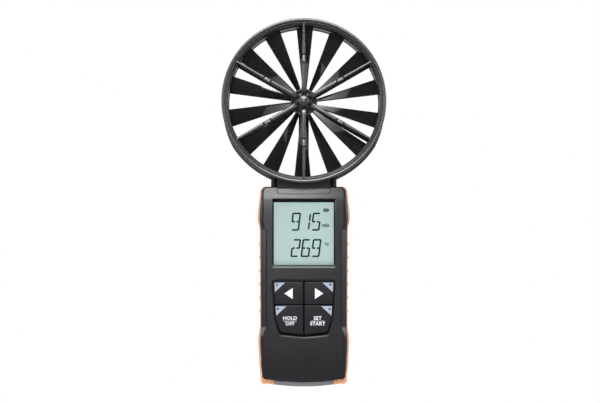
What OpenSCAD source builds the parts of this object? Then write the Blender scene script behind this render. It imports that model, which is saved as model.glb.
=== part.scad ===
// Handheld weather meter: a guarded vane ring on a display handle with soft side grips.
// Lengths are in millimetres. The front faces -Y, +Z is up, and the origin is the middle of the grip.

/* [Vane head] */
// Outside diameter of the vane ring
vane_d = 105; // [96:1:114]
// Front to back depth of the vane ring
ring_depth = 36; // [35.5:0.5:40]
// Thickness of the ring wall
ring_wall = 3; // [2.6:0.1:3.6]
// Gap between the top of the handle and the ring
neck_h = 1.6; // [1.2:0.1:4]
// Width of the neck under the ring
neck_w = 42.2; // [40:0.2:48]
// Thickness of the cradle of the neck, under the ring
cradle_t = 2.2; // [1.6:0.1:2.6]
// Gap between the blade tips and the ring wall
tip_gap = 1; // [0.6:0.1:1.6]
// Front to back depth of a blade
blade_depth = 9; // [7:0.5:9.5]
// Turn of a blade from its front edge to its back edge, in degrees
blade_twist = 12; // [8:1:14]
// Thickness of a blade
blade_t = 0.9; // [0.7:0.1:1.2]
// Diameter of the impeller hub
hub_d = 17.2; // [16:0.1:20]
// Diameter of the axle
axle_d = 2; // [1.6:0.1:2.4]
// Diameter of the domed nose cap
nose_d = 8.1; // [7.4:0.1:9]
// Width of a guard strut at the hub
strut_hub_w = 3; // [2.4:0.1:3.4]
// Width of a guard strut at the rim
strut_rim_w = 1.7; // [1.4:0.1:2.2]
// Front to back depth of a guard strut
strut_depth = 9; // [7.5:0.5:9.5]
// Width of the rear strut that carries the cable
cable_strut_w = 6.6; // [5.6:0.1:8]
// Width of the other rear struts
rear_strut_w = 1.4; // [1.2:0.1:2.4]

/* [Handle] */
// Length of the two shells
handle_l = 126; // [125:0.5:140]
// Width of the shells across the head
head_w = 56.8; // [56.4:0.2:62]
// Width of the shells across the waist
waist_w = 55.2; // [55:0.2:60]
// Width of the shells across the foot
foot_w = 55.6; // [55:0.2:60]
// Front to back thickness of the shells
handle_t = 28; // [28:0.2:31]
// Wall thickness of the shells
wall = 2; // [1.8:0.1:2.2]
// Radius of the arc under the foot
base_arc_r = 140; // [130:1:190]
// Depth by which the front rolls back at the top
top_roll = 4; // [3:0.1:5]

/* [Side grips] */
// Front to back width of a grip band
grip_band = 14; // [11:0.5:16]
// Height of a grip above the shells
grip_proud = 1; // [0.8:0.1:1.6]
// Extra height of a grip across the head and the foot
grip_bulge = 0.7; // [0.3:0.1:1]
// Spacing of the grip ribs
rib_pitch = 8.67; // [7:0.1:9]
// Height of a grip rib
rib_h = 0.6; // [0.4:0.1:0.9]

/* [Display and keys] */
// Width of the display window
window_w = 40.4; // [38:0.2:40.6]
// Height of the display window
window_h = 43.6; // [41:0.2:43.8]
// Width of the key bay at its top edge
bay_w = 40.8; // [39:0.2:41.4]
// Height of the key bay
bay_h = 35.8; // [34:0.2:36]
// Gap around each key
key_gap = 0.9; // [0.7:0.1:1]
// Travel of a key
key_travel = 0.8; // [0.6:0.1:0.9]

/* [Battery bay] */
// Diameter of a round cell
cell_d = 14.1; // [13.6:0.1:14.2]
// Length of a round cell
cell_l = 50.5; // [49.5:0.1:51]
// Width of the battery door plate
door_w = 41.8; // [40:0.2:42]
// Width of the lip at the foot of the battery door
lip_w = 36.8; // [32:0.2:37.2]
// Height of the lip at the foot of the battery door
lip_h = 4.2; // [3.4:0.1:4.6]

/* [Hidden] */
$fn = 64;
fit = 0.05;
slack = 0.1;
eps = 0.5;

// Levels of the handle, with the origin at the middle of the rib row
base_z = -66.6;
top_z = base_z + handle_l;
half_t = handle_t / 2;
parting_y = 0;
corner_r = 4;
foot_r = 3.4;
channel = 1.2;
grip_end_x = 24;
cavity_in = channel + wall;
face_y = wall - half_t;
head_z = top_z - 17;
waist_top_z = top_z - 28;
waist_low_z = -30;
foot_z = -41;
roll_z = top_z - 16.4;
foot_roll_z = -45;
foot_roll = 4;
arc_z = base_z + base_arc_r;

// Half width of the shells at a list of heights
stations = [
    [base_z - 6, waist_w / 2 - 2.2],
    [base_z + 1, waist_w / 2 - 1.8],
    [-53.6, foot_w / 2 - 0.6],
    [foot_z, foot_w / 2],
    [waist_low_z, waist_w / 2],
    [waist_top_z, waist_w / 2],
    [head_z, head_w / 2],
    [top_z + 1, head_w / 2 - 1.2]
];

// Vane head stations along the axis
vane_r = vane_d / 2;
vane_z = top_z + neck_h + vane_r;
ring_back = half_t;
ring_front = ring_back - ring_depth;
bore_r = vane_r - ring_wall;
rebate_r = bore_r + 1.1;
hoop_r = rebate_r - fit;
hoop_front = ring_front + 0.4;
hoop_back = ring_back - 0.4;
front_hoop_d = 3;
rear_hoop_d = 5.6;
tip_r = bore_r - tip_gap;
strut_front = ring_front + 0.5;
strut_back = strut_front + strut_depth;
hub_front = strut_front + 11.5;
hub_back = hub_front + blade_depth + 2.5;
blade_front = hub_front + 1;
rear_front = hub_back + 2;
rear_back = min(rear_front + strut_depth, hoop_back);
strut_step = 60;
blade_count = 14;
blade_phase = 0.5;
boss_r = nose_d / 2 + 0.85;
boss_front = strut_front + 4;
rear_hub_r = 7;
axle_r = axle_d / 2;
bush_r = axle_r + 1.2;
bush_bore_r = axle_r + fit;
bush_l = 4.6;
front_bush_y = hub_front - 6.2;
rear_bush_y = rear_front + 0.2;
sensor_off = 5;
sensor_r = 1.4;
cable_r = 0.9;
cable_bore_r = 1.15;
cable_y = rear_front + 3.2;
pad_in_r = vane_r * 0.51;
pad_out_r = vane_r * 0.6;

// Neck levels
neck_front = -8.5;
neck_face = neck_front - 2.5;
neck_back = 9.5;
tongue_w = 34.2;
tongue_z = top_z - 5.1;
flange_w = 38;
flange_z = top_z - 6.8;
seal_top_z = top_z - cavity_in;
neck_screw_a = 13;
neck_screw_y = 0;

// Display stack, from the lens back to the circuit board
board_y = face_y + 4.5;
board_t = 1.6;
board_back = board_y + board_t;
board_w = 46.6;
board_top = top_z - 7.8;
board_low = -50;
window_top = top_z - 8.5;
window_low = window_top - window_h;
lens_t = 1;
lens_over = 0.9;
frame_y = face_y + lens_t;
mask_t = 0.5;
view_side = 0.9;
view_top = 2.1;
view_low = 1.2;
panel_y = frame_y + mask_t;
panel_t = 2;
panel_back = panel_y + panel_t;
strip_h = 1.8;

// Key bay and keys
bay_top = window_low - 8.6;
bay_low = bay_top - bay_h;
key_split_z = bay_top - 15.7;
divider_x = 0.9;
divider_z = 0.65;
key_top = 0.1 - half_t;
key_t = 1.7;
key_under = key_top + key_t;
tray_y = key_under + key_travel + slack;
tray_t = 1.4;
tray_back = tray_y + tray_t;
stem_r = 2;
stem_bore_r = stem_r + 0.06;
foot_t = 0.8;
foot_y = tray_back + fit;
dome_y = foot_y + foot_t + key_travel + slack;
key_x = 10;
upper_key_z = bay_top - 7.4;
lower_key_z = bay_top - 24;
key_places = [[-key_x, upper_key_z], [key_x, upper_key_z], [-key_x + 0.6, lower_key_z], [key_x - 0.6, lower_key_z]];

// Screws and posts
post_r = 2.2;
post_x = 12;
post_top_z = window_low - 4.3;
post_low_z = -43;
post_places = [[-post_x, post_top_z], [post_x, post_top_z], [-post_x, post_low_z], [post_x, post_low_z]];
shank_r = 0.95;
pilot_r = 1;
clear_r = 1.25;
head_r = 1.9;
head_t = 1.2;
boss_top_x = 22.4;
boss_top_z = top_z - 4.8;
boss_low_x = 19.5;
boss_low_z = base_z + 5.2;
sink_y = half_t - 3.5;
low_seat_y = half_t - 4.5;

// Battery bay
bay_floor_y = board_back + 2.1;
bay_floor_t = 1.4;
cell_r = cell_d / 2;
cell_pitch = cell_d + slack;
cell_y = bay_floor_y + bay_floor_t + 0.15 + cell_r;
cell_low = -55.9;
tub_low = cell_low - 1.5;
tub_top = cell_low + cell_l + 1.3;
tub_x = cell_pitch + cell_r + 0.15;
tub_wall = 1;
door_y = half_t - wall + 0.1;
door_back = half_t - 0.1;
door_top = tub_top + 1.2;
tongue_x = door_w / 2 + 1.7;
rail_y = door_y + 0.85;

// Sub-parts, one per module

// Colours
shell_c = "#4a494d";
trim_c = "#2c2b2f";
grip_c = "#e08a55";
metal_c = "#b9bcc0";

// Draws a front outline (x, z) as a solid between two depths
module stand(y0, y1) {
    translate([0, y1, 0]) rotate([90, 0, 0]) linear_extrude(y1 - y0) children();
}

// Draws a side outline (y, z) as a solid across the width
module across(x0, x1) {
    translate([x0, 0, 0]) rotate([90, 0, 90]) linear_extrude(x1 - x0) children();
}

// A plain block between two corners
module block(a, b) {
    translate(a) cube(b - a);
}

// A round pin along the depth between two depths
module pin(x, z, r, y0, y1) {
    translate([x, y0, z]) rotate([-90, 0, 0]) cylinder(h = y1 - y0, r = r);
}

// Places a piece on the vane axis: its own z runs back, and clock angles turn from the top
module on_axis(y = 0) {
    translate([0, y, vane_z]) rotate([-90, 0, 0]) children();
}

// Turns a radial piece drawn along x to a clock angle
module at_clock(a) {
    rotate([0, 0, a - 90]) children();
}

// Points of an arc
function arc(x, z, r, a0, a1, n) = [for (i = [0:n]) let (a = a0 + (a1 - a0) * i / n) [x + r * cos(a), z + r * sin(a)]];

// Adds the mirrored left half to a list of right-half points
function both(p) = concat(p, [for (i = [len(p) - 1:-1:0]) if (p[i][0] > 0.01) [-p[i][0], p[i][1]]]);

// Eased value between the stations of a list
function eased(s, z, i = 0) =
    (z <= s[i + 1][0] || i == len(s) - 2)
    ? s[i][1] + (s[i + 1][1] - s[i][1]) * (1 - cos(180 * (z - s[i][0]) / (s[i + 1][0] - s[i][0]))) / 2
    : eased(s, z, i + 1);

// Right half of the shell outline, taken in by d, with the foot arc dropped by low
function half_outline(d, low = 0, bulge = 0) =
    let (
        rc = max(corner_r - d, 0.6),
        rf = max(foot_r - d, 0.6),
        top = top_z - d,
        w = eased(stations, top_z) - d,
        f = eased(stations, base_z) - d,
        r = base_arc_r - d + low,
        foot = arc_z - sqrt(r * r - (f - rf) * (f - rf)),
        steps = 20
    )
    concat(
        arc(w - rc, top - rc, rc, 90, 0, 5),
        [for (i = [1:steps - 1])
            let (z = top - rc + (foot + rf - top + rc) * i / steps)
            [eased(stations, z) - d + bulge * swell(z), z]],
        arc(f - rf, foot + rf, rf, 0, -90, 5),
        [for (i = [1:6]) let (x = (f - rf) * (1 - i / 6)) [x, arc_z - sqrt(r * r - x * x)]]
    );

// Where the grips swell: one at the head and the foot, none at the waist and the ends
function swell(z) = eased([
    [base_z - 6, 0], [base_z + 4, 0.5], [foot_z, 1], [waist_low_z, 0], [waist_top_z, 0], [head_z, 1], [top_z - 4, 0.2]
], z);

module shell_outline(d) {
    polygon(both(half_outline(d)));
}

// Side outline of the two shells together
module side_outline() {
    polygon(concat(
        [for (i = [0:8]) let (a = 90 - 90 * i / 8)
            [top_roll * (1 - cos(a)) - half_t, roll_z + (top_z - roll_z) * sin(a)]],
        [for (i = [0:8]) let (a = 90 * i / 8)
            [foot_roll * (1 - cos(a)) - half_t, foot_roll_z + (base_z - foot_roll_z) * sin(a)]],
        arc(half_t - 3, base_z + 3, 3, -90, 0, 4),
        arc(half_t - 3, top_z - 3, 3, 0, 90, 4)
    ));
}

// Level section of the two shells together
module level_outline() {
    w = head_w / 2;
    polygon(concat(
        arc(w - 3, half_t - 3, 3, 90, 0, 4),
        arc(w - 3, 3 - half_t, 3, 0, -90, 4),
        arc(3 - w, 3 - half_t, 3, -90, -180, 4),
        arc(3 - w, half_t - 3, 3, 180, 90, 4)
    ));
}

// Outer form of the handle
module handle_form() {
    intersection() {
        stand(-half_t, half_t) shell_outline(0);
        across(-head_w, head_w) side_outline();
        translate([0, 0, base_z - 1]) linear_extrude(handle_l + 2) level_outline();
    }
}

// Hollow of the handle
module handle_hollow() {
    low = base_z + cavity_in;
    high = top_z - cavity_in;
    intersection() {
        stand(face_y, half_t - wall) shell_outline(cavity_in);
        across(-head_w, head_w) polygon([
            [face_y, high - 4.2], [face_y + 3.5, high + 1], [half_t, high + 1], [half_t, low - 1],
            [face_y + 4, low - 1], [face_y, low + 8]
        ]);
    }
}

// Channel round the sides that the grips sit in
module grip_channel() {
    stand(-grip_band / 2 - slack, grip_band / 2 + slack) difference() {
        union() {
            grip_reach(slack);
            mirror([1, 0]) grip_reach(slack);
        }
        shell_outline(channel);
    }
}

// Front outline of the space beside the shells that the right grip fills, widened by d
module grip_reach(d) {
    translate([lip_w / 2 + 0.2 - d, base_z - 20]) square([head_w, 20 - base_z]);
    translate([grip_end_x - d, -eps]) square([head_w, top_z + 10]);
}

// Cut for the neck in the top of the shells
module neck_notch() {
    block([-tongue_w / 2 - slack, -half_t - 1, tongue_z - slack], [tongue_w / 2 + slack, neck_back + slack, top_z + 1]);
}

// Sloped scoop cut in each long front edge
module side_scoop() {
    x0 = waist_w / 2 - 4.03;
    x1 = waist_w / 2 + 2.4;
    y0 = -half_t - eps;
    y1 = y0 + 0.8 * (x1 - x0);
    hull() polyhedron(
        points = [
            [x0, y0, waist_top_z - 0.2], [x0, y0, waist_low_z + 1.5], [x1, y1, waist_top_z + 1.4],
            [x1, y1, waist_low_z - 2], [x1, y0, waist_top_z + 8.8], [x1, y0, waist_low_z - 21]
        ],
        faces = [[0, 2, 4], [1, 5, 3], [0, 1, 3, 2], [0, 4, 5, 1], [2, 3, 5, 4]]
    );
}

// Outline of the key bay, taken in by d
module bay_outline(d) {
    w = bay_w / 2 - d;
    knee_w = w - 1.3;
    low_w = w - 4.5 - d * 0.2;
    knee_z = bay_top - 24;
    low_z = bay_low + 1.5 + d * 0.8;
    polygon([
        [-w, bay_top - d], [w, bay_top - d], [knee_w, knee_z], [low_w + 1.6, low_z + 2.4], [low_w, low_z + 0.6],
        [low_w - 1.6, low_z], [low_w / 2, bay_low + d + 0.4], [0, bay_low + d], [-low_w / 2, bay_low + d + 0.4],
        [1.6 - low_w, low_z], [-low_w, low_z + 0.6], [-low_w - 1.6, low_z + 2.4], [-knee_w, knee_z]
    ]);
}

module window_outline(d) {
    translate([-window_w / 2 - d, window_low - d]) square([window_w + 2 * d, window_h + 2 * d]);
}

// Part of the display that shows inside the black border
module view_outline() {
    translate([view_side - window_w / 2, window_low + view_low])
        square([window_w - 2 * view_side, window_h - view_low - view_top]);
}

// One guard strut from the hub to the rim, pointing along x, with a rounded edge at one end
module strut(r0, r1, w0, w1, y0, y1) {
    linear_extrude(y1 - y0) polygon([[r0, -w0 / 2], [r1, -w1 / 2], [r1, w1 / 2], [r0, w0 / 2]]);
    translate([r0, 0, 0]) rotate([0, 90, 0]) cylinder(h = r1 - r0, r1 = w0 / 2, r2 = w1 / 2);
}

module vane_ring() {
    color(trim_c) difference() {
        on_axis() rotate_extrude() difference() {
            union() {
                translate([bore_r, ring_front + 1.2]) square([ring_wall, ring_depth - 2.4]);
                translate([bore_r, ring_front]) square([ring_wall - 1.2, ring_depth]);
                translate([vane_r - 1.2, ring_front + 1.2]) circle(1.2);
                translate([vane_r - 1.2, ring_back - 1.2]) circle(1.2);
            }
            translate([0, ring_front - 1]) square([rebate_r, hoop_front + front_hoop_d + fit - ring_front + 1]);
            translate([0, hoop_back - rear_hoop_d - fit]) square([rebate_r, rear_hoop_d + fit + 2]);
        }
        translate([0, cable_y, vane_z - vane_r - 2]) cylinder(h = ring_wall + 5, r = cable_bore_r);
        for (a = [180 - neck_screw_a, 180 + neck_screw_a])
            on_axis(neck_screw_y) at_clock(a) rotate([0, 90, 0]) {
                cylinder(h = vane_r + 2, r = clear_r);
                cylinder(h = bore_r + head_t + slack, r = head_r + slack);
            }
    }
}

module front_guard() {
    hoop_in = bore_r - 0.5;
    color(trim_c) difference() {
        union() {
            on_axis(hoop_front) rotate_extrude() translate([hoop_in, 0]) square([hoop_r - hoop_in, front_hoop_d]);
            on_axis(boss_front) cylinder(h = hub_front - 1.2 - boss_front, r = boss_r);
            for (a = [0:strut_step:359]) on_axis(strut_front + strut_hub_w / 2) at_clock(a) {
                strut(boss_r - 0.5, bore_r - slack, strut_hub_w, strut_rim_w, 0, strut_depth - strut_hub_w / 2);
                translate([pad_in_r, -0.7, -strut_hub_w / 2 - 0.1]) cube([pad_out_r - pad_in_r, 1.4, 1]);
            }
        }
        on_axis(front_bush_y - 0.2) cylinder(h = 10, r = bush_r + 0.02);
        on_axis(boss_front - 1) cylinder(h = 1.8, r = 1.52);
    }
}

module nose_cap() {
    r = nose_d / 2;
    color(trim_c) on_axis(boss_front) {
        intersection() {
            sphere(r);
            translate([0, 0, -r]) cylinder(h = r, r = r + 1);
        }
        translate([0, 0, -0.2]) cylinder(h = 0.9, r = 1.5);
    }
}

module rear_guard() {
    hoop_in = bore_r - 0.7;
    depth = rear_back - rear_front;
    color(trim_c) difference() {
        union() {
            on_axis(hoop_back - rear_hoop_d) rotate_extrude() translate([hoop_in, 0])
                square([hoop_r - hoop_in, rear_hoop_d]);
            on_axis(rear_front) cylinder(h = depth, r = rear_hub_r);
            on_axis(rear_front) {
                for (a = [0:strut_step:359]) at_clock(a) rear_strut(a == 180 ? cable_strut_w : rear_strut_w, depth);
            }
        }
        on_axis(rear_front - 1) cylinder(h = bush_l + 1.4, r = bush_r + 0.02);
        on_axis(rear_front - 1) at_clock(180) translate([sensor_off, 0, 0]) cylinder(h = 5.8, r = sensor_r + fit);
        translate([0, cable_y, vane_z - vane_r]) cylinder(h = vane_r - sensor_off, r = cable_bore_r);
    }
}

module rear_strut(w, depth) {
    block([rear_hub_r - 1, -w / 2, 0], [bore_r - 0.3, w / 2, depth]);
}

module rear_cap() {
    color(trim_c) on_axis(rear_back) {
        cylinder(h = 0.5, r = rear_hub_r - 0.6);
    }
}

module bush(y) {
    color("#c9a24b") on_axis(y) difference() {
        cylinder(h = bush_l, r = bush_r);
        translate([0, 0, -1]) cylinder(h = bush_l + 2, r = bush_bore_r);
    }
}

module front_bearing() {
    bush(front_bush_y);
}

module rear_bearing() {
    bush(rear_bush_y);
}

module impeller() {
    hub_r = hub_d / 2;
    hub_l = hub_back - hub_front;
    color("#19191b") difference() {
        union() {
            on_axis(hub_front) cylinder(h = hub_l, r = hub_r);
            for (k = [0:blade_count - 1]) on_axis(blade_front)
                at_clock(blade_phase + k * 360 / blade_count + blade_twist / 2)
                    linear_extrude(blade_depth, twist = blade_twist, slices = 6, $fn = 4)
                        translate([hub_r - 1, -blade_t / 2]) square([tip_r - hub_r + 1, blade_t]);
        }
        on_axis(hub_front - 1) cylinder(h = hub_l + 2, r = axle_r + 0.02);
        on_axis(hub_front - 1) difference() {
            cylinder(h = 3, r = hub_r - 1.2);
            cylinder(h = 3, r = axle_r + 2.2);
        }
        for (a = [0:90:359]) on_axis(hub_back - 2) at_clock(a) translate([sensor_off, 0, 0])
            cylinder(h = 3, r = 1.22);
    }
}

module axle() {
    color(metal_c) on_axis(front_bush_y + 0.2)
        cylinder(h = rear_bush_y + bush_l - front_bush_y - 0.4, r = axle_r);
}

module hub_magnets() {
    color(metal_c) for (a = [0:90:359]) on_axis(hub_back - 2) at_clock(a) translate([sensor_off, 0, 0])
        cylinder(h = 1.9, r = 1.2);
}

module speed_sensor() {
    color("#1d1d1f") on_axis(rear_front - 0.4) at_clock(180) translate([sensor_off, 0, 0])
        cylinder(h = 5, r = sensor_r);
}

module sensor_cable() {
    top = vane_z - sensor_off - sensor_r - fit;
    turn_z = flange_z - 2.4;
    plug_z = board_top - 2.4;
    plug_y = board_back + 2;
    reach = [cable_y - plug_y, turn_z - plug_z];
    color("#3a3a3c") {
        translate([0, cable_y, turn_z]) cylinder(h = top - turn_z, r = cable_r);
        translate([0, cable_y, turn_z]) sphere(cable_r + fit);
        translate([0, plug_y, plug_z]) rotate([-atan2(reach[0], reach[1]), 0, 0]) cylinder(h = norm(reach), r = cable_r);
        translate([0, plug_y, plug_z]) sphere(cable_r + fit);
        translate([0, plug_y, plug_z - 1.6]) cylinder(h = 1.6, r = cable_r);
    }
}

module vane_neck() {
    color(trim_c) difference() {
        union() {
            block([-neck_w / 2, neck_face, top_z + fit], [neck_w / 2, neck_back, vane_z - vane_r * 0.8]);
            intersection() {
                translate([0, 0, -cradle_t]) on_axis(neck_face) cylinder(h = neck_back - neck_face, r = vane_r);
                block([-vane_r, neck_face, top_z + fit], [vane_r, neck_back, vane_z - vane_r * 0.35]);
            }
            intersection() {
                block([-tongue_w / 2, -half_t, tongue_z], [tongue_w / 2, neck_back, top_z + 1]);
                union() {
                    across(-tongue_w, tongue_w) side_outline();
                    block([-tongue_w, neck_front, top_z - 1], [tongue_w, neck_back, top_z + 2]);
                }
            }
            block([-flange_w / 2, neck_front + 2.2, flange_z], [flange_w / 2, neck_back, tongue_z]);
        }
        on_axis(-half_t) cylinder(h = handle_t, r = vane_r + fit);
        translate([0, cable_y, flange_z - 1]) cylinder(h = 30, r = cable_bore_r);
        for (a = [180 - neck_screw_a, 180 + neck_screw_a])
            on_axis(neck_screw_y) at_clock(a) rotate([0, 90, 0]) cylinder(h = vane_r + 6.4, r = pilot_r);
    }
}

module neck_screws() {
    color(metal_c) for (a = [180 - neck_screw_a, 180 + neck_screw_a])
        on_axis(neck_screw_y) at_clock(a) rotate([0, 90, 0]) {
            translate([0, 0, bore_r + slack]) cylinder(h = head_t, r = head_r);
            translate([0, 0, bore_r + slack]) cylinder(h = ring_wall + 6, r = shank_r);
        }
}

module neck_seal() {
    out = flange_w / 2 - 0.2;
    color("#202022") difference() {
        block([-out, neck_front + 2.4, tongue_z], [out, neck_back + 1.6, seal_top_z]);
        block([-tongue_w / 2 - slack, -half_t, tongue_z - 1], [tongue_w / 2 + slack, neck_back + slack, top_z]);
    }
}

module front_shell() {
    color(shell_c) difference() {
        union() {
            intersection() {
                difference() {
                    handle_form();
                    handle_hollow();
                    grip_channel();
                }
                block([-head_w, -half_t - 1, base_z - 5], [head_w, parting_y, top_z + 5]);
            }
            stand(face_y - 0.1, tray_back) intersection() {
                bay_outline(-1.6);
                translate([-bay_w, base_z]) square([2 * bay_w, handle_l]);
            }
            for (p = post_places) pin(p[0], p[1], post_r, face_y - 0.1, board_y);
            for (s = [-1, 1]) {
                pin(s * boss_top_x, boss_top_z, post_r, -half_t + 4, parting_y);
                pin(s * boss_low_x, boss_low_z, post_r, -half_t + 4, parting_y);
            }
        }
        stand(-half_t - 1, face_y + 1) window_outline(0);
        stand(-half_t - 1, tray_y) bay_outline(0);
        for (p = key_places) pin(p[0], p[1], stem_bore_r, tray_y - 1, tray_back + 1);
        for (p = post_places) pin(p[0], p[1], pilot_r, face_y + 0.6, board_y + 1);
        for (s = [-1, 1]) {
            pin(s * boss_top_x, boss_top_z, pilot_r, -half_t + 5, parting_y + 1);
            pin(s * boss_low_x, boss_low_z, pilot_r, -half_t + 5, parting_y + 1);
        }
        neck_notch();
        side_scoop();
        mirror([1, 0, 0]) side_scoop();
    }
}

module rear_shell() {
    tub_out = tub_x + tub_wall;
    color(shell_c) difference() {
        union() {
            intersection() {
                difference() {
                    handle_form();
                    handle_hollow();
                    grip_channel();
                }
                block([-head_w, parting_y, base_z - 5], [head_w, half_t + 1, top_z + 5]);
            }
            block([-tub_out, bay_floor_y, tub_low - tub_wall], [tub_out, half_t - wall, tub_top + tub_wall]);
            for (s = [-1, 1]) {
                pin(s * boss_top_x, boss_top_z, post_r + 0.6, parting_y, half_t - 1);
                pin(s * boss_low_x, boss_low_z, post_r + 0.3, parting_y, low_seat_y);
            }
        }
        block([-tub_x, bay_floor_y + bay_floor_t, tub_low], [tub_x, half_t + 1, tub_top]);
        block([-door_w / 2 - 0.2, door_y - slack, base_z - 10], [door_w / 2 + 0.2, half_t + 1, door_top + 0.2]);
        block([-tongue_x - 0.15, door_y - slack, base_z - 10], [tongue_x + 0.15, rail_y + slack, door_top - 0.4]);
        for (s = [-1, 1]) {
            pin(s * boss_top_x, boss_top_z, clear_r, parting_y - 1, half_t + 1);
            pin(s * boss_top_x, boss_top_z, head_r + 0.2, sink_y, half_t + 1);
            pin(s * boss_low_x, boss_low_z, clear_r, parting_y - 1, half_t);
            pin(s * boss_low_x, boss_low_z, head_r + 0.2, low_seat_y, half_t);
        }
        neck_notch();
    }
}

module side_grip() {
    rise = grip_proud;
    color(grip_c) {
        intersection() {
            stand(-grip_band / 2, grip_band / 2) difference() {
                polygon(both(half_outline(-rise, lip_h - rise - 0.6, grip_bulge)));
                shell_outline(channel - fit);
            }
            stand(-half_t, half_t) grip_reach(0);
        }
        for (k = [-2.5:2.5])
            pin(eased(stations, k * rib_pitch) + rise - 0.4, k * rib_pitch, 0.4 + rib_h, -grip_band / 2, grip_band / 2);
    }
}

module right_grip() {
    side_grip();
}

module left_grip() {
    mirror([1, 0, 0]) side_grip();
}

module display_lens() {
    color("#dfe6e6", 0.35) stand(face_y, frame_y) window_outline(lens_over);
}

module display_frame() {
    color("#141416") difference() {
        stand(frame_y, board_y) window_outline(lens_over - 0.2);
        stand(frame_y - 1, panel_y) view_outline();
        stand(panel_y, board_y + 1) window_outline(slack);
    }
}

module display_panel() {
    color("#b5ccc9") stand(panel_y, panel_back) window_outline(0);
}

module backlight_panel() {
    color("#eef2f0") block(
        [-window_w / 2, panel_back, window_low + strip_h + 1],
        [window_w / 2, board_y, window_top - strip_h - 1]
    );
}

module contact_strips() {
    color("#8a8d90") for (z = [window_low + 0.3, window_top - 0.3 - strip_h])
        block([-18.5, panel_back, z], [18.5, board_y, z + strip_h]);
}

module circuit_board() {
    color("#1f6b45") difference() {
        block([-board_w / 2, board_y, board_low], [board_w / 2, board_back, board_top]);
        for (p = post_places) pin(p[0], p[1], clear_r, board_y - 1, board_back + 1);
    }
}

module board_chips() {
    color("#1b1b1d") {
        block([2, board_back, window_low + 10], [13, board_back + 1.2, window_low + 21]);
        block([3, board_back, window_low + 25], [11, board_back + 1, window_low + 30]);
        block([-9, board_back, window_low + 4], [-3, board_back + 1, window_low + 8]);
    }
}

module radio_module() {
    color("#a9acb0") block([-17, board_back, window_low + 16], [-5, board_back + 1.8, window_low + 32]);
}

module cable_socket() {
    color("#ece8dc") block([-4, board_back, board_top - 9], [4, board_back + 4, board_top - 4]);
}

module dome_switches() {
    color(metal_c) for (p = key_places) pin(p[0], p[1], 3, dome_y, board_y);
}

// One key: its share of the bay, a guided stem and a snap foot
module key(i, left, upper) {
    p = key_places[i];
    gap_x = divider_x / 2;
    gap_z = divider_z / 2;
    z0 = upper ? key_split_z + gap_z : base_z;
    z1 = upper ? top_z : key_split_z - gap_z;
    color("#44464b") {
        stand(key_top, key_under) intersection() {
            bay_outline(key_gap);
            translate([left ? -bay_w : gap_x, z0]) square([bay_w - gap_x, z1 - z0]);
        }
        pin(p[0], p[1], stem_r, key_under - 0.2, foot_y + foot_t);
        pin(p[0], p[1], stem_r + 0.5, foot_y, foot_y + foot_t);
    }
}

module left_key() {
    key(0, true, true);
}

module right_key() {
    key(1, false, true);
}

module back_key() {
    key(2, true, false);
}

module enter_key() {
    key(3, false, false);
}

module battery_door() {
    color("#6f7173") {
        intersection() {
            union() {
                block([-door_w / 2, door_y, base_z], [door_w / 2, door_back, door_top]);
                block([-tongue_x, door_y, base_z + 3], [tongue_x, rail_y, door_top - 0.8]);
            }
            stand(door_y - 1, half_t) difference() {
                translate([0, arc_z]) circle(base_arc_r - 0.2, $fn = 180);
                translate([-base_arc_r, door_top + 5]) square([2 * base_arc_r, 2 * base_arc_r]);
            }
        }
        stand(neck_front - 0.5, door_back) difference() {
            intersection() {
                translate([0, arc_z]) circle(base_arc_r + lip_h, $fn = 180);
                translate([-lip_w / 2, base_z - 10]) square([lip_w, 15]);
            }
            translate([0, arc_z]) circle(base_arc_r + slack, $fn = 180);
        }
        block([-lip_w / 2, door_y, base_z - lip_h / 2], [lip_w / 2, door_back, base_z + 4]);
        for (k = [0:4]) block(
            [-9, door_back - 0.2, door_top - 8 - 2.4 * k],
            [9, door_back + 0.1, door_top - 7 - 2.4 * k]
        );
    }
}

module batteries() {
    color("#3f6f9f") for (k = [-1:1]) translate([k * cell_pitch, cell_y, cell_low])
        mirror([0, 0, k == 0 ? 1 : 0]) translate([0, 0, k == 0 ? -cell_l : 0]) {
            cylinder(h = cell_l - 1.3, r = cell_r);
            translate([0, 0, cell_l - 1.4]) cylinder(h = 1.4, r = 2.7);
        }
}

module battery_contacts() {
    color(metal_c) for (k = [-1:1]) translate([k * cell_pitch, cell_y, 0]) {
        translate([-5, -5, tub_low]) cube([10, 10, 0.4]);
        translate([0, 0, tub_low]) cylinder(h = cell_low - tub_low, r = 2.4);
        translate([-5, -5, tub_top - 0.4]) cube([10, 10, 0.4]);
        translate([0, 0, cell_low + cell_l]) cylinder(h = tub_top - cell_low - cell_l, r = 2.4);
    }
}

// One housing screw with its head at depth y
module housing_screw(x, z, y) {
    pin(x, z, head_r, y, y + 1.6);
    pin(x, z, shank_r, -half_t + 6, y + 0.2);
}

module housing_screws() {
    color(metal_c) for (s = [-1, 1]) {
        housing_screw(s * boss_top_x, boss_top_z, sink_y);
        housing_screw(s * boss_low_x, boss_low_z, low_seat_y);
    }
}

module board_screws() {
    color(metal_c) for (p = post_places) {
        pin(p[0], p[1], head_r, board_back, board_back + head_t);
        pin(p[0], p[1], shank_r, face_y + 1, board_back + 0.2);
    }
}

vane_ring();
front_guard();
rear_guard();
nose_cap();
rear_cap();
front_bearing();
rear_bearing();
impeller();
axle();
hub_magnets();
speed_sensor();
sensor_cable();
vane_neck();
neck_screws();
neck_seal();
front_shell();
rear_shell();
left_grip();
right_grip();
display_lens();
display_frame();
display_panel();
backlight_panel();
contact_strips();
circuit_board();
board_chips();
radio_module();
cable_socket();
dome_switches();
left_key();
right_key();
back_key();
enter_key();
battery_door();
batteries();
battery_contacts();
housing_screws();
board_screws();
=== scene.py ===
import math

import bmesh
import bpy
from mathutils import Matrix, Vector


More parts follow.
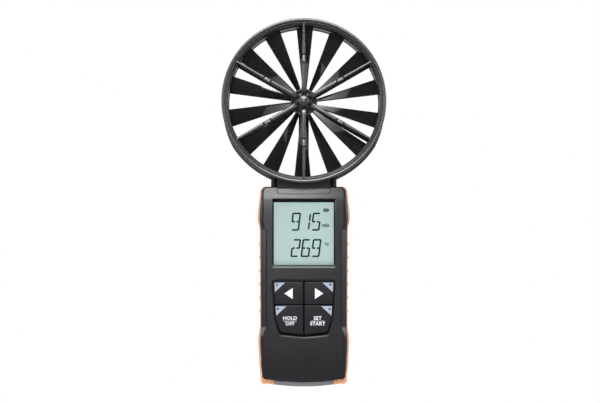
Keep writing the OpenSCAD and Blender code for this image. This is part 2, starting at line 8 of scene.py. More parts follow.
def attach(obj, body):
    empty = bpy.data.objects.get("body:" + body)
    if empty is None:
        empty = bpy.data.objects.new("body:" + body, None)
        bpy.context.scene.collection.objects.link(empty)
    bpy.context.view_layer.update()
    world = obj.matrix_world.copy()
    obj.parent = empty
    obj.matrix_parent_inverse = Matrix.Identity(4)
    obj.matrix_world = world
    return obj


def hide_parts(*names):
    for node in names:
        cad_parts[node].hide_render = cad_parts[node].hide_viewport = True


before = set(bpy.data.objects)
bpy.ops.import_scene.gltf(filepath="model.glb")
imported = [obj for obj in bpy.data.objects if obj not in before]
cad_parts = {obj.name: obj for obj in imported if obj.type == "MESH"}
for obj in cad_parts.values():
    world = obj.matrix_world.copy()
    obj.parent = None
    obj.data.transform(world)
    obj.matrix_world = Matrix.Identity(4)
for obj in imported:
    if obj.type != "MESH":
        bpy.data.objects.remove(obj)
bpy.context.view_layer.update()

# Sizes are in millimetres and angles in degrees, as in the part's source.
# A finished mesh is scaled to metres.
MM = 0.001

# Vane head: radii from the vane axis, and depths along y from the front to the back
VANE_Z = 113.5
RING_R = 52.5
BORE_R = 49.5
RING_FRONT = -22.0
RING_BACK = 14.0
HOOP_SEAT_R = 50.25
REAR_SEAT_R = 50.6
STRUT_FRONT = -21.5
PAD_GROOVES = (24.3, 29.3)
NOSE_R = 4.3
NOSE_Y = -17.8
NOSE_H = 4.1
HUB_R = 8.6
HUB_FRONT = -10.0
HUB_BACK = 1.5
BLADES = 14
BLADE_ROOT = 7.6
BLADE_TIP = 49.1
BLADE_START = 6.5
BLADE_TURN = 12.0
BLADE_DEPTH = 9.0
BLADE_WALL = 0.9
REAR_FRONT = 3.5
REAR_BACK = 12.5
RING_STEPS = 160
HUB_STEPS = 64

# Handle: STATIONS gives the half width of the shells at heights along the side
TOP_Z = 58.8
BASE_Z = -67.0
HALF_T = 14.0
STATIONS = [(-72.6, 26.3), (-65.6, 26.7), (-53.6, 27.65), (-41.0, 28.1), (-30.0, 27.6),
            (31.4, 27.85), (37.9, 28.55), (60.4, 27.15)]
HEAD_R = 4.0
HEEL_R = 2.3
HEEL_X = 22.4
FOOT_X = 24.33
ARC_R = 140.0
ARC_Z = BASE_Z + ARC_R
EDGE_R = 3.0
SHELL_WALL = 0.9

# Front face: the sloped band at its top, its roll into the top edge, and its long roll towards the foot
BAND_BEND = 43.0
BAND_RUN = 11.0
BAND_CURVE = 0.0105
BAND_TOP = 57.5
ROLL_H = 0.6
ROLL_DROP = 0.7
FOOT_BEND = -45.0
FOOT_RUN = 21.6
FOOT_DROP = 4.0

# Scoop in each long edge: a side facet between an upper and a lower end plane, by places and slopes
SCOOP_X = 23.57
SCOOP_SINK = 0.5
FACET_RISE = 0.8
CREASE_X = SCOOP_X + SCOOP_SINK / FACET_RISE
UPPER_Z = 31.2
UPPER_RISE = 0.695
UPPER_LEAN = 1.4
LOWER_Z = -30.81
LOWER_RISE = 0.25
LOWER_LEAN = 3.435

# Side grips: SWELL gives how much further a grip stands out at heights along the side
GRIP_HALF = 6.95
GRIP_EDGE = GRIP_HALF + 0.1
GRIP_LIFT = 0.72
GRIP_ROOT = 1.1
GRIP_TOP_X = 24.0
SWELL = [(-72.6, 0.0), (-64.5, 0.525), (-56.0, 0.56), (-40.0, 0.665), (-30.0, 0.0),
         (31.4, 0.0), (37.5, 0.595), (57.0, 0.245)]
FOOT_LIFT = 2.5
RIB_PITCH = 8.67
RIB_H = 0.6

# Half width, middle and half height of the side outline, which is drawn in from these under the grips
SIDE_X = 27.6
SIDE_MID = -3.6
SIDE_HALF = 63.0

# Display window as half width, low and high edge, with its rim, and the depths behind it
WINDOW = (20.2, 7.3, 50.7)
WINDOW_CHEEK = 0.5
WINDOW_RIM = 0.55
LEDGE_H = 0.9
LENS_Y = -12.0
PANEL_Y = -10.5

# Keys, neck, screws and battery door
TRAY_Y = -11.3
KEY_FRONT = -13.9
KEY_BACK = -12.2
INK_PROUD = 0.04
INK_SUNK = 0.02
TONGUE_X = 17.1
TONGUE_Z = 54.3
NECK_X = 21.1
NECK_FRONT = -11.7
NECK_BACK = 9.5
SCREW_X = 22.4
SCREW_Z = 54.6
SINK_R = 2.1
SINK_Y = 10.5
DOOR_X = 20.9
DOOR_TOP = -2.9
LIP_X = 19.1
LIP_H = 3.1
LIP_FRONT = -9.0

# The cradle grows from nothing to its full height between these shares of the ring's radius below the axis
CRADLE_TIP = 0.07
CRADLE_FULL = 0.55

# The floor lies under the battery door at the end of its slide
FLOOR_Z = -131.0


# Camera: level, in front of the object, at the photograph's framing
camera_data = bpy.data.cameras.new("camera")
camera_data.lens = 75.6
camera_data.sensor_width = 36.0
camera_data.clip_start = 0.05
camera = bpy.data.objects.new("camera", camera_data)
camera.location = (-0.00245, -0.822, 0.0493)
camera.rotation_euler = (math.radians(90.0), 0.0, 0.0)
bpy.context.collection.objects.link(camera)
bpy.context.scene.camera = camera
bpy.context.scene.view_settings.view_transform = "Standard"


# Materials

def colour(code):
    """Turns an sRGB hex colour to linear red, green, blue and alpha."""
    parts = [int(code[i:i + 2], 16) / 255.0 for i in (1, 3, 5)]
    return [c / 12.92 if c <= 0.04045 else ((c + 0.055) / 1.055) ** 2.4 for c in parts] + [1.0]


def add(tree, kind, inputs, **settings):
    """Adds a node, sets it, and fills or links its inputs."""
    made = tree.nodes.new(kind)
    for name, value in settings.items():
        setattr(made, name, value)
    for name, value in inputs.items():
        if isinstance(value, bpy.types.NodeSocket):
            tree.links.new(value, made.inputs[name])
        else:
            made.inputs[name].default_value = value
    return made


def moulded(name, dark, light, rough, grain_mm, depth_mm, shine=0.5, spread=0.05, metallic=0.0,
            polish=None):
    """A moulded or pressed surface: a slow change of tone, and a fine grain in gloss and height.

    polish gives two heights in millimetres and how much smoother the surface gets from one to the other.
    """
    made = bpy.data.materials.new(name)
    made.use_nodes = True
    tree = made.node_tree
    tree.nodes.clear()
    place = add(tree, "ShaderNodeTexCoord", {}).outputs["Object"]
    cloud_mm = 18
    cloud = add(tree, "ShaderNodeTexNoise", {"Vector": place, "Scale": 1 / (cloud_mm * MM), "Detail": 3.0})
    grain = add(tree, "ShaderNodeTexNoise", {"Vector": place, "Scale": 1 / (grain_mm * MM), "Detail": 2.0})
    tone = add(tree, "ShaderNodeMix", {0: cloud.outputs[0], 6: colour(dark), 7: colour(light)},
               data_type="RGBA")
    gloss = add(tree, "ShaderNodeMapRange", {
        0: grain.outputs[0], 1: 0.3, 2: 0.7, 3: rough - spread, 4: rough + spread})
    if polish:
        low, high, drop = polish
        height = add(tree, "ShaderNodeSeparateXYZ", {0: place}).outputs["Z"]
        rise = add(tree, "ShaderNodeMapRange", {0: height, 1: low * MM, 2: high * MM, 3: 0.0, 4: drop})
        gloss = add(tree, "ShaderNodeMath", {0: gloss.outputs[0], 1: rise.outputs[0]},
                    operation="SUBTRACT")
    bump = add(tree, "ShaderNodeBump", {
        "Height": grain.outputs[0], "Distance": depth_mm * MM, "Strength": 1.0})
    shader = add(tree, "ShaderNodeBsdfPrincipled", {
        "Base Color": tone.outputs[2], "Roughness": gloss.outputs[0], "Normal": bump.outputs[0],
        "IOR": 1.5, "Specular IOR Level": shine, "Metallic": metallic})
    add(tree, "ShaderNodeOutputMaterial", {"Surface": shader.outputs[0]})
    return made


# Moulded ABS with a fine spark texture: soft dark grey, with a broad dull sheen on its rolled edges
shell_abs = moulded("shell_abs", "#161519", "#1a191d", 0.28, 0.35, 0.005, shine=0.2,
                    polish=(40, 50, 0.08))
# Smooth moulded ABS of the vane head: darker, with sharper lights along its edges
vane_abs = moulded("vane_abs", "#1c1c1e", "#212123", 0.33, 0.5, 0.001, shine=0.52)
# The same ABS, duller and painted darker as shade, in the ring's bore, the guards, grooves, gaps, the side
# creases and the key bay: its darker colour is painted shade, and its low gloss keeps it dark even seen
# edge on. On the shells' top faces it hides the lamps' reflection.
dull_shaded_abs = moulded("dull_shaded_abs", "#121213", "#161617", 0.85, 0.5, 0.004, shine=0.08)
# The same ABS painted light grey as a highlight: the small bright flats on the struts
pad_glint_abs = moulded("pad_glint_abs", "#626365", "#6a6b6d", 0.3, 0.5, 0.002, shine=0.4)
# Polished ABS of the domed cap: one small bright highlight
nose_abs = moulded("nose_abs", "#1a1a1c", "#1e1e20", 0.34, 0.5, 0.001, shine=0.5)
# Polished ABS of the thin blades: near black, with clear bright reflections
blade_abs = moulded("blade_abs", "#2b2b2e", "#2f2f32", 0.1, 0.8, 0.0005, shine=0.3, spread=0.02)
# The same ABS with a satin tool finish on the hub and the neck: soft grey edges and no clear highlight
satin_abs = moulded("satin_abs", "#222224", "#272729", 0.4, 0.5, 0.003, shine=0.25)
# The same ABS on the face of the neck, with a coarser matt: it stays dark under the ring
neck_abs = moulded("neck_abs", "#161618", "#1a1a1c", 0.5, 0.5, 0.004, shine=0.14)
# Moulded TPE rubber: warm orange, dry and soft to look at, with hardly a highlight
grip_tpe = moulded("grip_tpe", "#d1956e", "#d69d76", 0.68, 0.3, 0.012, shine=0.2, spread=0.04)
# Mid grey ABS of the battery door
door_abs = moulded("door_abs", "#6b6e70", "#717476", 0.48, 0.35, 0.012, shine=0.2)
# Silicone key caps: slightly bluish dark grey, with a satin face
key_silicone = moulded("key_silicone", "#19191d", "#1d1d21", 0.45, 0.25, 0.006, shine=0.12)
# Pad-printed inks on the keys: flat, opaque and slightly chalky
white_ink = moulded("white_ink", "#e9ebf0", "#f0f2f6", 0.6, 0.2, 0.002, shine=0.15)
pale_ink = moulded("pale_ink", "#99a6b4", "#a0adba", 0.6, 0.2, 0.002, shine=0.15)
mark_ink = moulded("mark_ink", "#39434d", "#3f4953", 0.6, 0.2, 0.002, shine=0.15)
# Black display border, smooth and dead flat
border_pc = moulded("border_pc", "#050506", "#08090a", 0.5, 0.4, 0.001, shine=0.05)
# Reflective liquid crystal: grey-green, with a faint cloudiness behind the glass
lcd_field = moulded("lcd_field", "#b0c7c6", "#b6cdcb", 0.5, 0.3, 0.001, shine=0.08)
# Dark crystal of the figures: a grey green, not black
lcd_figure = moulded("lcd_figure", "#1c2c2a", "#203230", 0.45, 0.3, 0.001, shine=0.08)
# Inner parts: steel, bronze, board laminate, rubber, white and black plastics, and the sleeve of a cell
screw_steel = moulded("screw_steel", "#b4b7bb", "#bdc0c4", 0.28, 0.15, 0.002, metallic=1.0)
bush_bronze = moulded("bush_bronze", "#b98f47", "#c69c55", 0.32, 0.2, 0.002, metallic=1.0)
board_laminate = moulded("board_laminate", "#1f5a3c", "#246344", 0.4, 0.3, 0.004)
seal_rubber = moulded("seal_rubber", "#1d1d1f", "#232325", 0.7, 0.3, 0.01)
light_guide = moulded("light_guide", "#dfe3e3", "#e9eded", 0.35, 0.4, 0.002)
chip_epoxy = moulded("chip_epoxy", "#151517", "#1b1b1d", 0.5, 0.2, 0.006)
cell_sleeve = moulded("cell_sleeve", "#3b4046", "#43484e", 0.3, 0.5, 0.002)


def clear_cover(name):
    """Thin clear acrylic: it lets the display through and keeps a faint sharp reflection."""
    made = bpy.data.materials.new(name)
    made.use_nodes = True
    tree = made.node_tree
    tree.nodes.clear()
    place = add(tree, "ShaderNodeTexCoord", {}).outputs["Object"]
    haze = add(tree, "ShaderNodeTexNoise", {"Vector": place, "Scale": 1 / (6 * MM), "Detail": 2.0})
    gloss = add(tree, "ShaderNodeMapRange", {0: haze.outputs[0], 1: 0.3, 2: 0.7, 3: 0.14, 4: 0.2})
    shader = add(tree, "ShaderNodeBsdfPrincipled", {
        "Base Color": colour("#14191a"), "Roughness": gloss.outputs[0], "IOR": 1.49,
        "Specular IOR Level": 0.1, "Alpha": 0.04})
    add(tree, "ShaderNodeOutputMaterial", {"Surface": shader.outputs[0]})
    return made


lens_acrylic = clear_cover("lens_acrylic")

NODE_FINISHES = {
    vane_abs: ["rear_cap"],
    bush_bronze: ["front_bearing", "rear_bearing", "contact_strips", "battery_contacts"],
    screw_steel: ["axle", "hub_magnets", "neck_screws", "housing_screws", "board_screws", "cable_socket",
                  "dome_switches", "radio_module"],
    chip_epoxy: ["speed_sensor", "board_chips"],
    seal_rubber: ["sensor_cable", "neck_seal"],
    lens_acrylic: ["display_lens"],
    border_pc: ["display_frame"],
    lcd_field: ["display_panel"],
    light_guide: ["backlight_panel"],
    board_laminate: ["circuit_board"],
    cell_sleeve: ["batteries"],
}
for finish, names in NODE_FINISHES.items():
    for node_name in names:
        for slot in bpy.data.objects[node_name].material_slots:
            slot.material = finish


# Shaping helpers

def verts_of(geom):
    """The vertices among the geometry that an operator gives back."""
    return [v for v in geom if isinstance(v, bmesh.types.BMVert)]


def edges_of(geom):
    """The edges among the geometry that an operator gives back."""
    return [e for e in geom if isinstance(e, bmesh.types.BMEdge)]


def all_of(bm):
    """All the vertices, edges and faces of a mesh."""
    return bm.verts[:] + bm.edges[:] + bm.faces[:]


def merge_in(bm, other):
    """Adds a second mesh to a piece."""
    draft = bpy.data.meshes.new("draft")
    other.to_mesh(draft)
    other.free()
    bm.from_mesh(draft)
    bpy.data.meshes.remove(draft)


def slice_across(bm, places, normal):
    """Cuts a mesh at a row of places along an axis."""
    for place in places:
        bmesh.ops.bisect_plane(bm, geom=all_of(bm), dist=0.001, plane_co=[place * n for n in normal],
                               plane_no=normal)


def add_block(bm, centre, size):
    """Adds a block of a size round its centre."""
    bmesh.ops.create_cube(bm, size=1.0, matrix=Matrix.Translation(centre) @ Matrix.Diagonal((*size, 1)))


def keep(name, bm, material, body, nodes=(), crease=32.0, walled=False):
    """Merges, faces outwards, shades and places a mesh, and says what it rides on and stands for."""
    if not walled:
        bmesh.ops.remove_doubles(bm, verts=bm.verts, dist=0.0005)
        bmesh.ops.recalc_face_normals(bm, faces=bm.faces)
    for face in bm.faces:
        face.smooth = True
    for edge in bm.edges:
        edge.smooth = edge.calc_face_angle(0.0) < math.radians(crease)
    bmesh.ops.scale(bm, vec=(MM, MM, MM), verts=bm.verts)
    mesh = bpy.data.meshes.new(name)
    bm.to_mesh(mesh)
    bm.free()
    mesh.materials.append(material)
    made = bpy.data.objects.new(name, mesh)
    bpy.context.collection.objects.link(made)
    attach(made, body)
    if nodes:
        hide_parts(*nodes)
    return made


def finish_part(made, material, test):
    """Gives a second material to the faces whose centre, in millimetres, and normal pass a test."""
    made.data.materials.append(material)
    for face in made.data.polygons:
        if test(face.center / MM, face.normal):
            face.material_index = len(made.data.materials) - 1


def off_axis(point):
    """Distance of a point from the vane axis."""
    return math.hypot(point.x, point.z - VANE_Z)


def rounded(corners, steps=4):
    """Rounds the corners (a, b, radius) of a closed outline."""
    points = []
    for i, (a, b, radius) in enumerate(corners):
        here = Vector((a, b))
        if radius == 0:
            points.append(here)
            continue
        to_last = (Vector(corners[i - 1][:2]) - here).normalized()
        to_next = (Vector(corners[(i + 1) % len(corners)][:2]) - here).normalized()
        half = to_last.angle(to_next) / 2
        centre = here + (to_last + to_next).normalized() * (radius / math.sin(half))
        start = here + to_last * (radius / math.tan(half)) - centre
        stop = here + to_next * (radius / math.tan(half)) - centre
        turn = -start.angle_signed(stop)
        for k in range(steps + 1):
            points.append(centre + Matrix.Rotation(turn * k / steps, 2) @ start)
    return points


def turn_on_axis(bm, profile, steps):
    """Turns a profile of (radius, depth) points round the vane axis."""
    verts = [bm.verts.new((0.0, y, VANE_Z + r)) for r, y in profile]
    edges = [bm.edges.new((verts[i - 1], verts[i])) for i in range(len(verts))]
    bmesh.ops.spin(bm, geom=verts + edges, cent=(0, 0, VANE_Z), axis=(0, 1, 0), angle=math.tau,
                   steps=steps, use_merge=True)


def copy_round(bm, geom, count, around):
    """Copies a radial piece round the vane axis: count pieces, spaced as a full set of around pieces."""
    bmesh.ops.spin(bm, geom=geom, cent=(0, 0, VANE_Z), axis=(0, 1, 0),
                   angle=math.tau * (count - 1) / around, steps=count - 1, use_duplicate=True)


def turn_piece(bm, geom, degrees):
    """Turns a radial piece round the vane axis."""
    bmesh.ops.rotate(bm, cent=(0, 0, VANE_Z), matrix=Matrix.Rotation(math.radians(degrees), 3, "Y"),
                     verts=verts_of(geom))


def raise_outline(bm, outline, front, back):
    """Draws a front outline (x, z) as a closed block between two depths, and gives its front face."""
    face = bm.faces.new([bm.verts.new((x, back, z)) for x, z in outline])
    grown = bmesh.ops.extrude_face_region(bm, geom=[face], use_keep_orig=True)["geom"]
    bmesh.ops.translate(bm, vec=(0, front - back, 0), verts=verts_of(grown))
    return [f for f in grown if isinstance(f, bmesh.types.BMFace)][0]


def soften(bm, edges, width, segments=3):
    """Rounds a set of edges."""
    bmesh.ops.bevel(bm, geom=edges, offset=width, offset_type="OFFSET", affect="EDGES",
                    segments=segments, profile=0.5, material=-1, clamp_overlap=True)


# Vane head

def make_vane_ring():
    """The ring wall, with a seat for the front hoop, a bore with painted shade and a seat for the rear
    guard.
    """
    bm = bmesh.new()
    hoop_step = -18.55
    shade_end = 1.0
    rear_step = 7.95
    turn_on_axis(bm, rounded([
        (RING_R, RING_FRONT, 1.13), (HOOP_SEAT_R, RING_FRONT, 1.1), (HOOP_SEAT_R, hoop_step, 0),
        (BORE_R, hoop_step, 0.3), (BORE_R, shade_end, 0), (BORE_R, rear_step, 0.3),
        (REAR_SEAT_R, rear_step, 0), (REAR_SEAT_R, RING_BACK, 0.35),
        (RING_R, RING_BACK, 1.3)]), RING_STEPS)
    made = keep("ring_wall", bm, vane_abs, "meter", ["vane_ring"])
    # Painted shade: the bore ahead of the rear seat gets the darker, duller ABS, for the shade inside the
    # ring.
    finish_part(made, dull_shaded_abs, lambda p, n: off_axis(p) < BORE_R + 0.5 and p.y < shade_end)


def add_strut(bm, r0, r1, w0, w1, front, back, nose):
    """Adds a tapered strut at the top of the ring.

    nose is the share of its half width that rounds its front edges.
    """
    half = w0 / 2
    corners = [(-half, front, nose * half), (half, front, nose * half), (half, back, 0.25),
               (-half, back, 0.25)]
    face = bm.faces.new([bm.verts.new((x, y, VANE_Z + r0)) for x, y in rounded(corners, 6)])
    geom = [face] + face.edges[:] + face.verts[:]
    grown = bmesh.ops.extrude_face_region(bm, geom=[face], use_keep_orig=True)["geom"]
    moved = verts_of(grown)
    bmesh.ops.scale(bm, vec=(w1 / w0, 1, 1), verts=moved)
    bmesh.ops.translate(bm, vec=(0, 0, r1 - r0), verts=moved)
    sides = {f for v in moved for f in v.link_faces}
    return list(set(geom) | set(grown) | sides | {e for f in sides for e in f.edges})


def in_groove(r):
    """True at the two grooves that end each pad of a strut."""
    return any(abs(r - groove) < 0.38 for groove in PAD_GROOVES)


def make_front_guard():
    """Six struts that sink towards the hub and are cut down for their pads, the hoop, and the hub."""
    bm = bmesh.new()
    sink_r = 9.0
    add_strut(bm, r0=4.4, r1=49.4, w0=3.0, w1=1.7, front=STRUT_FRONT, back=-12.5, nose=0.98)
    cuts = [6.0, 7.5, sink_r]
    cuts += [groove + step for groove in PAD_GROOVES for step in (-0.4, -0.35, 0.35, 0.4)]
    slice_across(bm, [VANE_Z + r for r in cuts], (0, 0, 1))
    for vert in bm.verts:
        r = vert.co.z - VANE_Z
        if r < sink_r:
            vert.co.y = max(vert.co.y, STRUT_FRONT + 0.14 * (sink_r - r) ** 2)
        elif in_groove(r):
            vert.co.y = max(vert.co.y, STRUT_FRONT + 1.3)
        elif PAD_GROOVES[0] < r < PAD_GROOVES[1]:
            vert.co.y = max(vert.co.y, STRUT_FRONT + 0.45)
    copy_round(bm, all_of(bm), 6, 6)
    hoop_in = 48.2
    hoop_out = HOOP_SEAT_R - 0.05
    hoop_front = -21.3
    hoop_back = -18.6
    turn_on_axis(bm, rounded([
        (49.7, hoop_front, 0.3), (hoop_out, hoop_front, 0.2), (hoop_out, hoop_back, 0.2),
        (hoop_in, hoop_back, 0.3), (hoop_in, -19.7, 0.4)]), RING_STEPS)
    hub_r = 4.9
    hub_front = -17.5
    hub_back = -11.2
    turn_on_axis(bm, rounded([
        (0.0, hub_front, 0), (hub_r, hub_front, 0.6), (hub_r, hub_back, 0.3),
        (0.0, hub_back, 0)]), HUB_STEPS)
    made = keep("guard_front", bm, vane_abs, "meter", ["front_guard"])

    # Painted shade: the grooves at each pad's ends and the side walls of the struts and the hub get the
    # darker, duller ABS.
    def shaded_faces(p, n):
        r = off_axis(p)
        return in_groove(r) or r < hoop_in - 0.2 and abs(n.y) < 0.2

    finish_part(made, dull_shaded_abs, shaded_faces)
    finish_part(made, satin_abs, lambda p, n: off_axis(p) > hoop_in - 0.1)


def make_strut_pads():
    """A small pad between the grooves of each strut, painted light grey as a highlight."""
    bm = bmesh.new()
    middle = sum(PAD_GROOVES) / 2
    add_block(bm, (0, STRUT_FRONT + 0.3, VANE_Z + middle), (1.5, 0.7, 3.8))
    soften(bm, bm.edges[:], 0.22)
    copy_round(bm, all_of(bm), 6, 6)
    keep("guard_pads", bm, pad_glint_abs, "meter")


def make_nose_cap():
    """The domed cap at the middle of the front guard."""
    bm = bmesh.new()
    steps = 16
    back = NOSE_Y + 0.6
    turns = [math.pi / 2 * i / steps for i in range(steps + 1)]
    dome = [(NOSE_R * math.sin(a), NOSE_Y - NOSE_H * math.cos(a)) for a in turns]
    turn_on_axis(bm, dome + [(NOSE_R, back), (0.0, back)], HUB_STEPS)
    keep("nose_dome", bm, nose_abs, "meter", ["nose_cap"])


def make_rear_guard():
    """Five thin struts, the wide lower strut that carries the cable, the outer band, and the hub."""
    bm = bmesh.new()
    strut = {"r0": 6.0, "r1": 49.2, "front": REAR_FRONT, "back": REAR_BACK}
    thin = add_strut(bm, w0=1.4, w1=1.4, nose=0.5, **strut)
    turn_piece(bm, thin, -120)
    copy_round(bm, thin, 5, 6)
    wide = add_strut(bm, w0=6.6, w1=6.6, nose=0.15, **strut)
    turn_piece(bm, wide, 180)
    band_front = 8.0
    band_back = 13.6
    band_out = REAR_SEAT_R - 0.05
    turn_on_axis(bm, rounded([
        (49.0, band_front, 0.5), (band_out, band_front, 0.2), (band_out, band_back, 0.4),
        (49.3, band_back, 0.6)]), RING_STEPS)
    hub_r = 7.0
    turn_on_axis(bm, rounded([
        (0.0, REAR_FRONT, 0), (hub_r, REAR_FRONT, 0.4), (hub_r, REAR_BACK, 0.5),
        (0.0, REAR_BACK, 0)]), HUB_STEPS)
    made = keep("guard_rear", bm, vane_abs, "meter", ["rear_guard"])
    # Painted shade: the rear guard, deep in the ring, gets the darker, duller ABS on all but its back
    # faces.
    finish_part(made, dull_shaded_abs, lambda p, n: off_axis(p) < 48.5 and n.y < 0.5)


def make_impeller():
    """The wheel: a blade swept along a helix and copied round, and a hub with a groove in its front."""
    bm = bmesh.new()
    columns = 14
    turns = 10
    start = math.radians(BLADE_START)
    radii = [BLADE_ROOT + (BLADE_TIP - BLADE_ROOT) * i / columns for i in range(columns + 1)]
    row = [bm.verts.new((math.sin(start) * r, HUB_FRONT + 1.0, VANE_Z + math.cos(start) * r))
           for r in radii]
    line = [bm.edges.new((row[i], row[i + 1])) for i in range(columns)]
    bmesh.ops.spin(bm, geom=row + line, cent=(0, 0, VANE_Z), axis=(0, 1, 0),
                   dvec=(0, BLADE_DEPTH / turns, 0), angle=-math.radians(BLADE_TURN), steps=turns)
    bmesh.ops.solidify(bm, geom=bm.faces[:], thickness=BLADE_WALL)
    bmesh.ops.recalc_face_normals(bm, faces=bm.faces)
    copy_round(bm, all_of(bm), BLADES, BLADES)
    boss_r = 3.2
    lip_r = 7.4
    floor_y = HUB_FRONT + 2
    turn_on_axis(bm, rounded([
        (0.0, HUB_FRONT, 0), (boss_r, HUB_FRONT, 0.3), (boss_r, floor_y, 0.2), (lip_r, floor_y, 0.3),
        (lip_r, HUB_FRONT, 0.3), (HUB_R, HUB_FRONT, 0.5), (HUB_R, HUB_BACK, 0.5), (0.0, HUB_BACK, 0)]), 96)
    made = keep("vane_wheel", bm, blade_abs, "impeller", ["impeller"])
    finish_part(made, satin_abs, lambda p, n: off_axis(p) < HUB_R + 0.1 and p.y < floor_y + 0.3)


# Handle forms

def eased(stations, z):
    """Cosine-eased value between the stations of a list."""
    z = min(max(z, stations[0][0]), stations[-1][0])
    for (z0, a), (z1, b) in zip(stations, stations[1:]):
        if z <= z1:
            return a + (b - a) * (1 - math.cos(math.pi * (z - z0) / (z1 - z0))) / 2
    return stations[-1][1]


def foot_line(x):
    """Height of the foot's arc at a distance from the middle."""
    return ARC_Z - math.sqrt(ARC_R * ARC_R - x * x)


# Where the rounded head and heel corners start, and the half widths that they add to
CORNER_Z = TOP_Z - HEAD_R
HEEL_Z = foot_line(HEEL_X) + HEEL_R
HEAD_W = eased(STATIONS, CORNER_Z) - HEAD_R
HEEL_W = eased(STATIONS, HEEL_Z) - HEEL_R


def half_width(z):
    """Half width of the shells, with the rounded head and heel corners."""
    if z > CORNER_Z:
        return HEAD_W + math.sqrt(max(0.0, HEAD_R ** 2 - (z - CORNER_Z) ** 2))
    if z < HEEL_Z:
        return HEEL_W + math.sqrt(max(0.0, HEEL_R ** 2 - (HEEL_Z - z) ** 2))
    return eased(STATIONS, z)


def quarter(t, drop):
    """Depth lost along a quarter ellipse, from none at t = 0 to drop at t = 1."""
    return drop * (1 - math.sqrt(max(0.0, 1 - min(max(t, 0.0), 1.0) ** 2)))


def band_slope(z):
    """Depth lost towards the top, where the face bends into a sloped band."""
    bend = min(max(z - BAND_BEND, 0.0), BAND_RUN)
    straight = max(z - BAND_BEND - BAND_RUN, 0.0)
    return BAND_CURVE * bend * bend + 2 * BAND_CURVE * BAND_RUN * straight


def top_roll(z):
    """Depth lost towards the top: the sloped band, and the band's roll into the top edge."""
    return band_slope(z) + quarter((z - TOP_Z + ROLL_H) / ROLL_H, ROLL_DROP)


def front_depth(x, z):
    """Depth of the front face: long edges rounded, head and foot rolled back, and a scoop in each edge."""
    side = quarter((abs(x) - half_width(z) + EDGE_R) / EDGE_R, EDGE_R)
    roll = max(top_roll(z), quarter((FOOT_BEND - z) / FOOT_RUN, FOOT_DROP))
    base = -HALF_T + (side ** 3 + roll ** 3) ** (1 / 3)
    out = abs(x) - SCOOP_X
    facet = FACET_RISE * out
    upper = UPPER_RISE * (UPPER_Z + UPPER_LEAN * out - z)
    lower = LOWER_RISE * (z - LOWER_Z + LOWER_LEAN * out)
    return max(base, -HALF_T - SCOOP_SINK + min(facet, upper, lower))


def rear_depth(x, z):
    """Depth of the back face: flat, with all its edges rounded."""
    side = max(0.0, EDGE_R - half_width(z) + abs(x))
    end = max(0.0, EDGE_R - TOP_Z + z, EDGE_R - z + foot_line(x))
    return HALF_T - quarter(min(1.0, math.hypot(side, end) / EDGE_R), EDGE_R)


def spread_grid(bm, columns, rows):
    """Lays a grid over the shell outline, close at its edges."""
    bmesh.ops.create_grid(bm, x_segments=columns, y_segments=rows, size=1.0)
    for vert in bm.verts:
        across = math.sin(vert.co.x * math.pi / 2)
        up = (1 + math.sin(vert.co.y * math.pi / 2)) / 2
        low = foot_line(across * FOOT_X)
        z = low + (TOP_Z - low) * up
        vert.co = (across * half_width(z), 0.0, z)


def score(bm, start, stop, near):
    """Cuts the faces that pass the test near along the line between two front points."""
    faces = [f for f in bm.faces if near(f.calc_center_median())]
    geom = faces + list({e for f in faces for e in f.edges}) + list({v for f in faces for v in f.verts})
    along = Vector((stop[0] - start[0], 0, stop[1] - start[1]))
    bmesh.ops.bisect_plane(bm, geom=geom, dist=0.001, plane_co=(start[0], 0, start[1]),
                           plane_no=along.cross(Vector((0, 1, 0))))


def inside(point, outline):
    """True if a point's front position lies within an outline."""
    found = False
    for i, (x1, z1) in enumerate(outline):
        x0, z0 = outline[i - 1]
        if (z0 > point.z) != (z1 > point.z) and point.x < x0 + (x1 - x0) * (point.z - z0) / (z1 - z0):
            found = not found
    return found


def span(outline):
    """The left, right, low and high ends of an outline."""
    xs = [p[0] for p in outline]
    zs = [p[1] for p in outline]
    return min(xs), max(xs), min(zs), max(zs)


def open_hole(bm, outline):
    """Cuts an outline out of a face sheet."""
    left, right, low, high = span(outline)

    def near(point):
        return left - 2 < point.x < right + 2 and low - 2 < point.z < high + 2

    for i, point in enumerate(outline):
        score(bm, outline[i - 1], point, near)
    gone = [f for f in bm.faces if inside(f.calc_center_median(), outline)]
    bmesh.ops.delete(bm, geom=gone, context="FACES")


def open_edges(bm, outline):
    """The open edges of a sheet that lie in the box round an outline."""
    left, right, low, high = span(outline)
    slack = 0.01
    found = []
    for edge in bm.edges:
        middle = (edge.verts[0].co + edge.verts[1].co) / 2
        level = low - slack < middle.z < high + slack
        if edge.is_boundary and level and left - slack < middle.x < right + slack:
            found.append(edge)
    return found


def draw_in(bm, edges, to=None, by=0.0, ratio=1.0, centre=(0.0, 0.0)):
    """Extrudes an edge loop to a depth, or by a step in depth, drawn in towards a centre by a ratio."""
    grown = bmesh.ops.extrude_edge_only(bm, edges=edges)["geom"]
    for vert in verts_of(grown):
        vert.co.x = centre[0] + (vert.co.x - centre[0]) * ratio
        vert.co.z = centre[1] + (vert.co.z - centre[1]) * ratio
        vert.co.y = vert.co.y + by if to is None else to
    return edges_of(grown)


def wall_up(bm, outward_y, thickness):
    """Faces a sheet outwards and gives it a wall on its inner side."""
    bmesh.ops.remove_doubles(bm, verts=bm.verts, dist=0.0005)
    bmesh.ops.recalc_face_normals(bm, faces=bm.faces)
    facing = sum(f.normal.y * f.calc_area() for f in bm.faces)
    if facing * outward_y < 0:
        bmesh.ops.reverse_faces(bm, faces=bm.faces)
    bmesh.ops.solidify(bm, geom=bm.faces[:], thickness=thickness)


